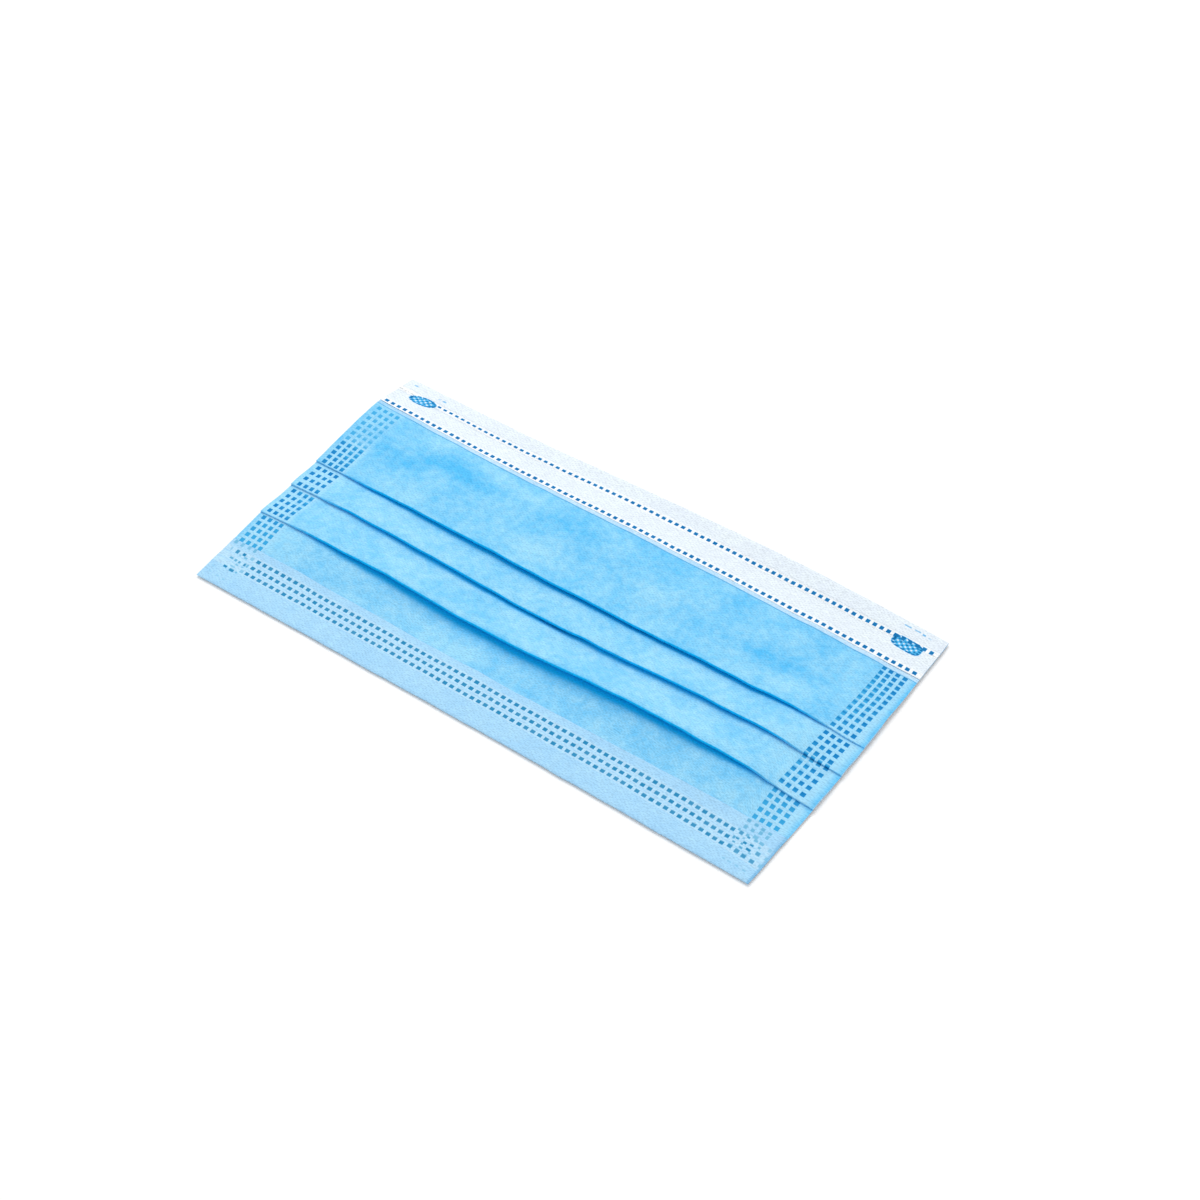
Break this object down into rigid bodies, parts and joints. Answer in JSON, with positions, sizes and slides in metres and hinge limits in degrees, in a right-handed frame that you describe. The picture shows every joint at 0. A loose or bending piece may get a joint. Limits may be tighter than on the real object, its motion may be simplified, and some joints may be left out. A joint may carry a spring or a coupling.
{
  "type": "surgical face mask",
  "caption": "Flat-folded pleated surgical face mask of bonded nonwoven plies, lying face up, with knife pleats, a turned nose band and a chin hem.",
  "frame": {"origin": "middle of the footprint, on the surface that the mask lies on", "axes": "+X across the face towards the right end as seen from the front, +Y towards the nose edge, +Z out of the front of the mask"},
  "size_m": [0.175, 0.092, 0.0057],
  "materials": {
    "blue_cloth": "matt spunbond nonwoven",
    "white_cloth": "matt spunbond nonwoven",
    "pale_cloth": "matt spunbond nonwoven"
  },
  "bodies": {
    "root": {"pleated_panel": "blue_cloth", "nose_band": "white_cloth", "chin_hem": "pale_cloth"}
  },
  "joints": []
}
